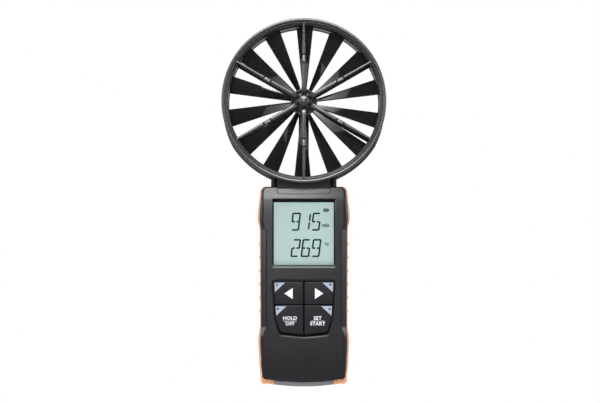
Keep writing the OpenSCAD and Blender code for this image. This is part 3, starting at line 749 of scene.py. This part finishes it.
# Outline of the bay that the keys sit in
BAY = rounded([
    (-20.9, -0.8, 1.6), (20.9, -0.8, 1.6), (19.6, -25.3, 6.0), (16.4, -37.2, 3.0), (0.0, -38.8, 30.0),
    (-16.4, -37.2, 3.0), (-19.6, -25.3, 6.0)], 4)


def under_grip(x, z):
    """True where the outline of the shells is covered by a side grip."""
    return abs(x) > (GRIP_TOP_X if z > 0 else LIP_X - 0.5)


def close_side(bm, edges, step):
    """Takes the rim of a shell back to the grip, in under the grip, and on to the parting line."""
    rim = draw_in(bm, edges, to=step * GRIP_EDGE)
    seat = GRIP_ROOT + 0.05
    grown = bmesh.ops.extrude_edge_only(bm, edges=rim)["geom"]
    for vert in verts_of(grown):
        if under_grip(vert.co.x, vert.co.z):
            vert.co.x *= 1 - seat / SIDE_X
            vert.co.z = SIDE_MID + (vert.co.z - SIDE_MID) * (1 - seat / SIDE_HALF)
    draw_in(bm, edges_of(grown), to=step * 0.03)


def score_scoop(bm, side):
    """Cuts the face along the lines where the planes of one scoop meet the face and each other."""
    def near(point):
        return point.x * side > 22.5 and -48 < point.z < 44

    for x in (SCOOP_X, CREASE_X):
        score(bm, (side * x, -60), (side * x, 60), near)
    far_x = 29.0
    lines = (
        (UPPER_Z - SCOOP_SINK / UPPER_RISE, UPPER_LEAN),
        (UPPER_Z, UPPER_LEAN - FACET_RISE / UPPER_RISE),
        (LOWER_Z + SCOOP_SINK / LOWER_RISE, -LOWER_LEAN),
        (LOWER_Z, FACET_RISE / LOWER_RISE - LOWER_LEAN))
    for z, lean in lines:
        far_z = z + lean * (far_x - SCOOP_X)
        score(bm, (side * SCOOP_X, round(z, 2)), (side * far_x, round(far_z, 2)), near)


def crease_shade_strip(p, n):
    """True on the narrow strip of the face along the inner edge of a side facet, which is painted darker
    as the shade of the crease.
    """
    return SCOOP_X < abs(p.x) < CREASE_X and LOWER_Z + 0.5 < p.z < UPPER_Z - 0.2 and p.y < -13.0


def make_front_shell():
    """The front cover: scooped face, window with its rim and lower ledge, key bay, and neck notch."""
    bm = bmesh.new()
    spread_grid(bm, 64, 150)
    for side in (-1, 1):
        score_scoop(bm, side)
    w, low, high = WINDOW
    cheek = w + WINDOW_CHEEK
    sill = low - WINDOW_RIM
    lintel = high + WINDOW_RIM
    pane = rounded([(-cheek, sill, 1.0), (cheek, sill, 1.0),
                    (cheek, lintel, 1.0), (-cheek, lintel, 1.0)], 3)
    gap = 0.35
    tongue = TONGUE_X + gap
    notch = rounded([(-tongue, TONGUE_Z - gap, 2.2), (tongue, TONGUE_Z - gap, 2.2),
                     (tongue, TOP_Z + 3, 0), (-tongue, TOP_Z + 3, 0)], 4)
    for outline in (pane, BAY, notch):
        open_hole(bm, outline)
    window = open_edges(bm, pane)
    bay = open_edges(bm, BAY)
    outer = [e for e in bm.edges if e.is_boundary and e not in window and e not in bay]
    for vert in bm.verts:
        vert.co.y = front_depth(vert.co.x, vert.co.z)
    rim_depth = 0.42
    ledge_depth = 0.24
    window = draw_in(bm, window, by=rim_depth, ratio=w / cheek, centre=(0, (low + high) / 2))
    window = draw_in(bm, window, by=ledge_depth)
    for vert in {v for e in window for v in e.verts}:
        if vert.co.z < low + 1.0:
            vert.co.z += LEDGE_H
    draw_in(bm, window, to=LENS_Y)
    bay_rim_depth = 0.46
    bay = draw_in(bm, bay, by=bay_rim_depth, ratio=0.955, centre=(0, -18))
    bay = draw_in(bm, bay, to=TRAY_Y)
    bmesh.ops.contextual_create(bm, geom=bay)
    close_side(bm, outer, -1)
    wall_up(bm, -1, SHELL_WALL)
    made = keep("cover_front", bm, shell_abs, "meter", ["front_shell"], walled=True)
    # The darker, duller ABS: on the top faces it hides the lamps' reflection, in the key bay it is painted
    # shade, and along the inner edge of each side facet it paints a dark crease line.
    finish_part(made, dull_shaded_abs, lambda p, n: n.z > 0.9 and p.z > TOP_Z - 1.0 and p.y > -10.4)
    finish_part(made, dull_shaded_abs, lambda p, n: p.y > -13.2 and inside(p, BAY))
    finish_part(made, dull_shaded_abs, crease_shade_strip)


def make_rear_shell():
    """The rear cover: flat back, opening with a ledge for the battery door, and wells for two screws."""
    bm = bmesh.new()
    spread_grid(bm, 64, 130)
    gap = 0.15
    door = DOOR_X + gap
    bay = rounded([(-door, BASE_Z - 6, 0), (door, BASE_Z - 6, 0),
                   (door, DOOR_TOP + gap, 1.2), (-door, DOOR_TOP + gap, 1.2)], 4)
    turns = [math.tau * i / 20 for i in range(20)]
    sinks = [[(x + SINK_R * math.cos(a), SCREW_Z + SINK_R * math.sin(a)) for a in turns]
             for x in (-SCREW_X, SCREW_X)]
    for outline in [bay] + sinks:
        open_hole(bm, outline)
    opening = open_edges(bm, bay)
    wells = [e for sink in sinks for e in open_edges(bm, sink)]
    outer = [e for e in bm.edges if e.is_boundary and e not in opening and e not in wells]
    for vert in bm.verts:
        vert.co.y = rear_depth(vert.co.x, vert.co.z)
    ledge = draw_in(bm, opening, by=-1.9)
    draw_in(bm, ledge, ratio=0.9, centre=(0, -40))
    draw_in(bm, wells, to=SINK_Y)
    close_side(bm, outer, 1)
    wall_up(bm, 1, SHELL_WALL)
    made = keep("cover_rear", bm, shell_abs, "meter", ["rear_shell"], walled=True)
    # The darker, duller ABS on the top faces hides the lamps' reflection there.
    finish_part(made, dull_shaded_abs, lambda p, n: n.z > 0.9 and p.z > TOP_Z - 1.0 and p.y < HALF_T - EDGE_R)


# Lengths of a grip along the outline: round the head, down the side, round the heel, and in to the lip
GRIP_RUNS = (5.3, CORNER_Z - HEEL_Z, HEEL_R * math.pi / 2, HEEL_W - LIP_X - 0.15)


def grip_line(s):
    """Place (x, z) and outward direction on the shells' outline, at a length from a grip's top end."""
    head, side, heel = GRIP_RUNS[:3]
    if s < head:
        a = math.radians(12) + s / head * math.radians(78)
        return HEAD_W + HEAD_R * math.sin(a), CORNER_Z + HEAD_R * math.cos(a), math.sin(a), math.cos(a)
    if s < head + side:
        z = CORNER_Z - (s - head)
        return eased(STATIONS, z), z, 1.0, 0.0
    if s < head + side + heel:
        a = (s - head - side) / heel * math.pi / 2
        return HEEL_W + HEEL_R * math.cos(a), HEEL_Z - HEEL_R * math.sin(a), math.cos(a), -math.sin(a)
    x = HEEL_W - (s - head - side - heel)
    return x, foot_line(x), 0.0, -1.0


def make_grip(side, name, node_name):
    """A soft band along one long side: crowned, with rolled edges, cross ribs and a squared heel."""
    bm = bmesh.new()
    bmesh.ops.create_grid(bm, x_segments=20, y_segments=620, size=1.0)
    ribs = [RIB_PITCH * (k + 0.5) for k in range(-3, 3)]
    roll = 0.28
    roots = {}
    bm.verts.index_update()
    for vert in bm.verts:
        t = vert.co.x
        x, z, nx, nz = grip_line((vert.co.y + 1) / 2 * sum(GRIP_RUNS))
        lift = GRIP_LIFT + eased(SWELL, z)
        if nz > 0:
            lift *= 1 - 0.9 * nz ** 5
        lift -= quarter((abs(t) - 1 + roll) / roll, 1.0)
        off_rib = min(abs(z - rib) for rib in ribs)
        if nx == 1.0 and off_rib < 1.0:
            lift += RIB_H * math.sqrt(1 - off_rib * off_rib)
        if nz == -1.0:
            lift += FOOT_LIFT
        vert.co = (side * (x + nx * lift), t * GRIP_HALF, z + nz * lift)
        if -1.0 < nz < 0.0:
            wide = (HEEL_R + lift) * math.sqrt(nx)
            deep = (HEEL_R + FOOT_LIFT + lift) * math.sqrt(-nz)
            vert.co = (side * (HEEL_W + wide), t * GRIP_HALF, HEEL_Z - deep)
        roots[vert.index] = (side * (x - nx * GRIP_ROOT), t * GRIP_HALF, z - nz * GRIP_ROOT)
    edge = [e for e in bm.edges if e.is_boundary]
    order = {tuple(v.co): roots[v.index] for e in edge for v in e.verts}
    grown = bmesh.ops.extrude_edge_only(bm, edges=edge)["geom"]
    for vert in verts_of(grown):
        vert.co = order[tuple(vert.co)]
    bmesh.ops.contextual_create(bm, geom=edges_of(grown))
    keep(name, bm, grip_tpe, "meter", [node_name])


# Neck, battery door and keys

def under_ring(x, gap):
    """Height of the ring's underside, less a gap, at a distance from the middle."""
    return VANE_Z - math.sqrt((RING_R + gap) ** 2 - x * x)


def neck_panel():
    """The front panel of the neck, with the tongue that lies in the notch of the front cover."""
    bm = bmesh.new()
    high = 66.0
    outline = rounded([(-TONGUE_X, TONGUE_Z, 2.0), (TONGUE_X, TONGUE_Z, 2.0), (TONGUE_X, high, 0),
                       (-TONGUE_X, high, 0)], 4)
    raise_outline(bm, outline, -HALF_T, -8.3)
    slice_across(bm, [TONGUE_Z + 0.3 * i + 0.01 for i in range(1, 27)], (0, 0, 1))
    slice_across(bm, [i * 2.0 + 0.01 for i in range(-8, 9)], (1, 0, 0))
    for vert in bm.verts:
        if vert.co.y < -10:
            vert.co.y = -HALF_T + band_slope(min(vert.co.z, BAND_TOP))
        vert.co.z = min(vert.co.z, under_ring(vert.co.x, -0.4))
    return bm


def neck_cradle():
    """A saddle round the underside of the ring, which fades into the ring at its two tips."""
    bm = bmesh.new()
    sunk = 0.4
    profile = ((-10.8, -sunk), (-10.8, 1.2), (-10.2, 1.8), (8.7, 1.8), (9.3, 1.2), (9.3, -sunk))
    foot = [bm.verts.new((0.0, y, VANE_Z - RING_R - rise)) for y, rise in profile]
    line = [bm.edges.new((foot[i - 1], foot[i])) for i in range(len(foot))]
    turn_piece(bm, foot, -80)
    bmesh.ops.spin(bm, geom=foot + line, cent=(0, 0, VANE_Z), axis=(0, 1, 0), angle=math.radians(160),
                   steps=80)
    for vert in bm.verts:
        reach = off_axis(vert.co)
        down = (VANE_Z - vert.co.z) / reach
        share = min(1.0, max(0.0, (down - CRADLE_TIP) / (CRADLE_FULL - CRADLE_TIP)))
        rise = -sunk + (reach - RING_R + sunk) * share
        vert.co.x *= (RING_R + rise) / reach
        vert.co.z = max(VANE_Z - down * (RING_R + rise), TOP_Z + 0.3)
    return bm


def make_neck():
    """The neck block with a groove on each side of its front panel, and the cradle under the ring."""
    bm = bmesh.new()
    groove = (TONGUE_X + 0.1, 18.9)
    groove_y = -9.0
    front = [(-NECK_X, NECK_FRONT, 1.2), (-groove[1], NECK_FRONT, 0.3), (-groove[1], groove_y, 0),
             (-groove[0], groove_y, 0)]
    front += [(-x, y, r) for x, y, r in reversed(front)]
    outline = rounded(front + [(NECK_X, NECK_BACK, 2.5), (-NECK_X, NECK_BACK, 2.5)], 4)
    low = TOP_Z + 0.05
    face = bm.faces.new([bm.verts.new((x, y, low)) for x, y in outline])
    grown = bmesh.ops.extrude_face_region(bm, geom=[face], use_keep_orig=True)["geom"]
    bmesh.ops.translate(bm, vec=(0, 0, 8.0), verts=verts_of(grown))
    slice_across(bm, [i * 2.0 + 0.01 for i in range(-10, 11)], (1, 0, 0))
    for vert in bm.verts:
        if vert.co.z > low + 1:
            vert.co.z = under_ring(vert.co.x, -0.6)
    merge_in(bm, neck_panel())
    merge_in(bm, neck_cradle())
    made = keep("neck_block", bm, shell_abs, "meter", ["vane_neck"])
    finish_part(made, neck_abs, lambda p, n: p.z > BAND_TOP + 0.1 and abs(p.x) < NECK_X + 0.1)
    finish_part(made, satin_abs, lambda p, n: abs(p.x) > NECK_X + 0.1)
    # Painted shade: the grooves beside the neck's front panel get the darker, duller ABS.
    finish_part(made, dull_shaded_abs, lambda p, n: groove[0] < abs(p.x) < groove[1] + 0.1 and -11.6 < p.y < -8)


def door_panel():
    """The sliding panel of the battery door, with a thumb hollow in its back."""
    bm = bmesh.new()
    hollow_z = -15.0
    bmesh.ops.create_grid(bm, x_segments=24, y_segments=60, size=1.0)
    for vert in bm.verts:
        x = vert.co.x * DOOR_X
        low = foot_line(x) - 0.1
        z = low + (DOOR_TOP - low) * (1 + vert.co.y) / 2
        reach = min(1.0, math.hypot(x / 15.0, (z - hollow_z) / 10.5))
        hollow = 0.35 * (1 + math.cos(math.pi * reach))
        vert.co = (x, rear_depth(x, max(z, foot_line(x))) - 0.1 - hollow, z)
    wall_up(bm, 1, 1.25)
    return bm


def door_ribs():
    """Six short ribs across the thumb hollow, each shorter than the one above."""
    bm = bmesh.new()
    for k in range(6):
        add_block(bm, (0, 13.2, -9.0 - 2.4 * k), (22.0 - 2.0 * k, 1.5, 1.1))
    soften(bm, bm.edges[:], 0.3)
    return bm


def make_door():
    """The battery door: the lip under the foot, the panel and its ribs."""
    bm = bmesh.new()
    lip_r = ARC_R + LIP_H
    across = [i / 10 * LIP_X for i in range(-10, 11)]
    outline = [(x, ARC_Z - math.sqrt(lip_r ** 2 - x * x)) for x in across]
    outline += [(x, foot_line(x) - 0.1) for x in reversed(across)]
    raise_outline(bm, outline, LIP_FRONT, HALF_T - 0.1)
    soften(bm, [e for e in bm.edges if e.calc_face_angle(0.0) > 1.0], 0.6)
    merge_in(bm, door_panel())
    merge_in(bm, door_ribs())
    keep("door_plate", bm, door_abs, "battery_door", ["battery_door"])


# Outlines of the right keys as corners (x, z, radius). The left keys mirror them.
UPPER_KEY = [(19.45, -2.2, 1.0), (0.45, -2.2, 1.0), (0.45, -16.67, 1.0), (18.65, -16.67, 1.0)]
LOWER_KEY = [(18.6, -17.33, 1.0), (0.45, -17.33, 1.0), (0.45, -36.1, 1.0), (15.0, -34.4, 2.6),
             (18.2, -25.3, 5.0)]
KEYS = {
    "left_key": (-1, UPPER_KEY),
    "right_key": (1, UPPER_KEY),
    "back_key": (-1, LOWER_KEY),
    "enter_key": (1, LOWER_KEY),
}


def bar(x0, z0, x1, z1):
    """Outline of an upright rectangle."""
    return [(x0, z0), (x1, z0), (x1, z1), (x0, z1)]


def ink(name, outlines, material, body, depth):
    """Thin printed marks that stand a hair above the surface they are on."""
    bm = bmesh.new()
    for outline in outlines:
        raise_outline(bm, outline, depth - INK_PROUD, depth + INK_SUNK)
    keep(name, bm, material, body)


def lettering(name, text, size, x, z, material, body, depth, weight=0.012, spacing=1.05):
    """Plain printed words, centred on a front point."""
    curve = bpy.data.curves.new(name, "FONT")
    curve.body = text
    curve.size = size
    curve.align_x = "CENTER"
    curve.align_y = "CENTER"
    curve.resolution_u = 3
    curve.offset = weight * size
    curve.space_character = spacing
    holder = bpy.data.objects.new(name + "_draft", curve)
    bpy.context.collection.objects.link(holder)
    flat = bpy.data.meshes.new_from_object(holder)
    bpy.data.objects.remove(holder)
    bm = bmesh.new()
    bm.from_mesh(flat)
    bpy.data.meshes.remove(flat)
    bmesh.ops.rotate(bm, cent=(0, 0, 0), matrix=Matrix.Rotation(math.pi / 2, 3, "X"), verts=bm.verts)
    bmesh.ops.translate(bm, vec=(x, depth - INK_PROUD, z), verts=bm.verts)
    grown = bmesh.ops.extrude_face_region(bm, geom=bm.faces[:], use_keep_orig=True)["geom"]
    bmesh.ops.translate(bm, vec=(0, INK_PROUD + INK_SUNK, 0), verts=verts_of(grown))
    keep(name, bm, material, body)


def make_keys():
    """The four key caps with their corner prints, marks, arrows and words."""
    for name, (side, corners) in KEYS.items():
        bm = bmesh.new()
        outline = rounded([(side * x, z, r) for x, z, r in corners], 4)
        top = raise_outline(bm, outline, KEY_FRONT, KEY_BACK)
        soften(bm, top.edges[:], 0.5, 4)
        keep(name + "_cap", bm, key_silicone, name, [name])
        margin = 0.55
        edge = corners[0][0] - margin
        high = corners[0][1] - margin
        print_x = (edge, edge - 6.9, edge - 0.35)
        print_z = (high, high, high - 6.0)
        corner_print = [(side * x, z) for x, z in zip(print_x, print_z)]
        ink(name + "_corner", [corner_print], pale_ink, name, KEY_FRONT)
    marks = {
        "left_key": [bar(-17.9, -4.9, -17.4, -3.2), bar(-17.1, -4.9, -16.6, -3.2)],
        "right_key": [bar(16.0, -4.6, 18.2, -4.1), bar(16.4, -4.1, 17.8, -3.3)],
        "back_key": [bar(-17.3, -20.2, -15.9, -18.8)],
        "enter_key": [bar(15.6, -19.9, 17.4, -19.4), bar(16.3, -20.5, 16.8, -18.8)],
    }
    for name, outlines in marks.items():
        ink(name + "_mark", outlines, mark_ink, name, KEY_FRONT - INK_PROUD)
    for name, side in (("left_key", -1), ("right_key", 1)):
        ink(name + "_arrow", [[(side * 12.4, -9.7), (side * 7.15, -6.2), (side * 7.15, -13.2)]],
            white_ink, name, KEY_FRONT)
    for name, x, words in (("back_key", -8.9, ("HOLD", "OFF")), ("enter_key", 8.85, ("SET", "START"))):
        lettering(name + "_upper_word", words[0], 3.2, x, -25.6, white_ink, name, KEY_FRONT)
        lettering(name + "_lower_word", words[1], 3.2, x, -29.2, white_ink, name, KEY_FRONT)
        rule = bar(x - 4.3, -27.5, x + 4.3, -27.3)
        ink(name + "_rule", [rule], white_ink, name, KEY_FRONT)


# Display figures

# The lit bars of each figure: a, d and the halves g and h lie across, b, c, e and f stand
SEGMENTS = {"1": "bc", "2": "abghed", "5": "afghcd", "6": "afghedc", "9": "abcdfgh"}
LEAN = math.tan(math.radians(7.0))


def figure_bars(digit, x, low, width, height, stroke):
    """Outlines of the lit bars of one seven-bar figure, leaning to the right."""
    mid = height / 2
    join = 0.25
    trim = -0.3
    spots = {
        "a": (0, height, width, height), "d": (0, 0, width, 0),
        "g": (0, mid, width / 2, mid), "h": (width / 2, mid, width, mid),
        "f": (0, mid, 0, height), "e": (0, 0, 0, mid),
        "b": (width, mid, width, height), "c": (width, 0, width, mid)}
    meets = {"a": "fb", "d": "ec", "g": "f ", "h": " b", "f": "ga", "e": "dg", "b": "ha", "c": "dh"}
    lit = SEGMENTS[digit]
    bars = []
    for name in lit:
        x0, z0, x1, z1 = spots[name]
        along = Vector((x1 - x0, z1 - z0)).normalized()
        side = Vector((-along.y, along.x)) * stroke / 2
        start = Vector((x0, z0)) - along * (join if meets[name][0] in lit else trim)
        stop = Vector((x1, z1)) + along * (join if meets[name][1] in lit else trim)
        nib = along * stroke / 3
        corners = [start, start + nib - side, stop - nib - side,
                   stop, stop - nib + side, start + nib + side]
        bars.append([(x + p.x + p.y * LEAN, low + p.y) for p in corners])
    return bars


def make_figures():
    """The lit figures, the point, the battery mark and the units on the display."""
    marks = []
    for low, digits in ((31.0, "915"), (14.0, "269")):
        for i, digit in enumerate(digits):
            marks += figure_bars(digit, -8.15 + 6.57 * i, low, 4.6, 10.6, 1.1)
    marks.append(bar(3.8, 13.6, 4.45, 14.25))
    marks += [bar(12.5, 42.6, 15.7, 43.0), bar(12.5, 44.4, 15.7, 44.8), bar(12.5, 43.0, 12.9, 44.4),
              bar(15.3, 43.0, 15.7, 44.4), [(15.7, 43.0), (16.4, 43.5), (16.4, 43.9), (15.7, 44.4)]]
    marks += [bar(13.0 + 0.78 * k, 43.1, 13.66 + 0.78 * k, 44.3) for k in range(3)]
    ink("display_figures", marks, lcd_figure, "meter", PANEL_Y)
    bold = 0.045
    lettering("display_speed_unit", "m/s", 2.9, 14.1, 34.0, lcd_figure, "meter", PANEL_Y, bold)
    lettering("display_heat_unit", "°C", 2.7, 14.7, 21.5, lcd_figure, "meter", PANEL_Y, bold)


make_vane_ring()
make_front_guard()
make_strut_pads()
make_nose_cap()
make_rear_guard()
make_impeller()
make_front_shell()
make_rear_shell()
make_grip(-1, "grip_left", "left_grip")
make_grip(1, "grip_right", "right_grip")
make_neck()
make_door()
make_keys()
make_figures()


# Stage

def white_rays(tree):
    """One for rays from the camera, reflections and clear pieces, and none for light on the object."""
    path = add(tree, "ShaderNodeLightPath", {})
    seen = add(tree, "ShaderNodeMath", {
        0: path.outputs["Is Camera Ray"], 1: path.outputs["Is Glossy Ray"]}, operation="MAXIMUM")
    seen = add(tree, "ShaderNodeMath", {0: seen.outputs[0], 1: path.outputs["Is Transmission Ray"]},
               operation="MAXIMUM")
    return seen.outputs[0]


world = bpy.data.worlds.new("studio")
world.use_nodes = True
bpy.context.scene.world = world
world.node_tree.nodes.clear()
soft = add(world.node_tree, "ShaderNodeBackground", {"Color": colour("#ffffff"), "Strength": 0.06})
white = add(world.node_tree, "ShaderNodeBackground", {"Color": colour("#ffffff"), "Strength": 1.0})
seen_white = white_rays(world.node_tree)
sky = add(world.node_tree, "ShaderNodeMixShader", {0: seen_white, 1: soft.outputs[0], 2: white.outputs[0]})
add(world.node_tree, "ShaderNodeOutputWorld", {"Surface": sky.outputs[0]})

floor_mat = bpy.data.materials.new("floor_paper")
floor_mat.use_nodes = True
floor_mat.node_tree.nodes.clear()
paper = add(floor_mat.node_tree, "ShaderNodeBsdfDiffuse", {"Color": colour("#f4f4f4")})
glow = add(floor_mat.node_tree, "ShaderNodeEmission", {"Color": colour("#ffffff"), "Strength": 1.0})
spot = add(floor_mat.node_tree, "ShaderNodeTexCoord", {})
reach = add(floor_mat.node_tree, "ShaderNodeVectorMath", {0: spot.outputs["Object"]}, operation="LENGTH")
fade = add(floor_mat.node_tree, "ShaderNodeMapRange", {
    0: reach.outputs["Value"], 1: 0.16, 2: 0.3, 3: 0.7, 4: 1.0})
seen_floor = white_rays(floor_mat.node_tree)
share = add(floor_mat.node_tree, "ShaderNodeMath", {0: seen_floor, 1: fade.outputs[0]},
            operation="MULTIPLY")
blend = add(floor_mat.node_tree, "ShaderNodeMixShader", {
    0: share.outputs[0], 1: paper.outputs[0], 2: glow.outputs[0]})
add(floor_mat.node_tree, "ShaderNodeOutputMaterial", {"Surface": blend.outputs[0]})

floor_bm = bmesh.new()
bmesh.ops.create_grid(floor_bm, x_segments=1, y_segments=1, size=6.0,
                      matrix=Matrix.Translation((0, 0, FLOOR_Z * MM)))
floor_mesh = bpy.data.meshes.new("floor")
floor_bm.to_mesh(floor_mesh)
floor_bm.free()
floor_mesh.materials.append(floor_mat)
floor = bpy.data.objects.new("floor", floor_mesh)
bpy.context.collection.objects.link(floor)


def softbox(name, place, target, width, height, power, use="both"):
    """A soft lamp. A card shows only in the gloss of the pieces, and a fill only lights them."""
    lamp = bpy.data.lights.new(name, "AREA")
    lamp.shape = "RECTANGLE"
    lamp.size = width
    lamp.size_y = height
    lamp.energy = power
    made = bpy.data.objects.new(name, lamp)
    made.location = place
    aim = Vector(target) - Vector(place)
    made.rotation_euler = aim.to_track_quat("-Z", "Y").to_euler()
    made.visible_diffuse = use != "card"
    made.visible_glossy = use != "fill"
    bpy.context.collection.objects.link(made)


softbox("front_light", (-0.12, -1.0, 0.275), (0, 0, 0.2), 0.26, 0.62, 4.1)
softbox("fill_light", (0.1, -1.0, 0.3), (0, 0, 0.05), 0.6, 0.6, 3.2, use="fill")
softbox("band_card", (-0.022, -0.36, 0.217), (0, 0, 0.055), 0.09, 0.075, 0.46, use="card")
softbox("crown_card", (-0.05, -0.45, 0.85), (0, 0, 0.1), 1.0, 0.5, 31.0, use="card")
softbox("top_light", (-0.05, -0.2, 0.85), (0, 0, 0.08), 0.9, 0.4, 5.5)
softbox("back_light", (0.3, 0.95, 0.5), (0, 0, 0.04), 0.5, 0.5, 3.6, use="fill")
softbox("left_light", (-0.72, -0.1, 0.19), (0, 0, 0.0), 0.3, 0.34, 3.0)
softbox("right_light", (0.72, -0.1, 0.19), (0, 0, 0.0), 0.3, 0.34, 2.8)
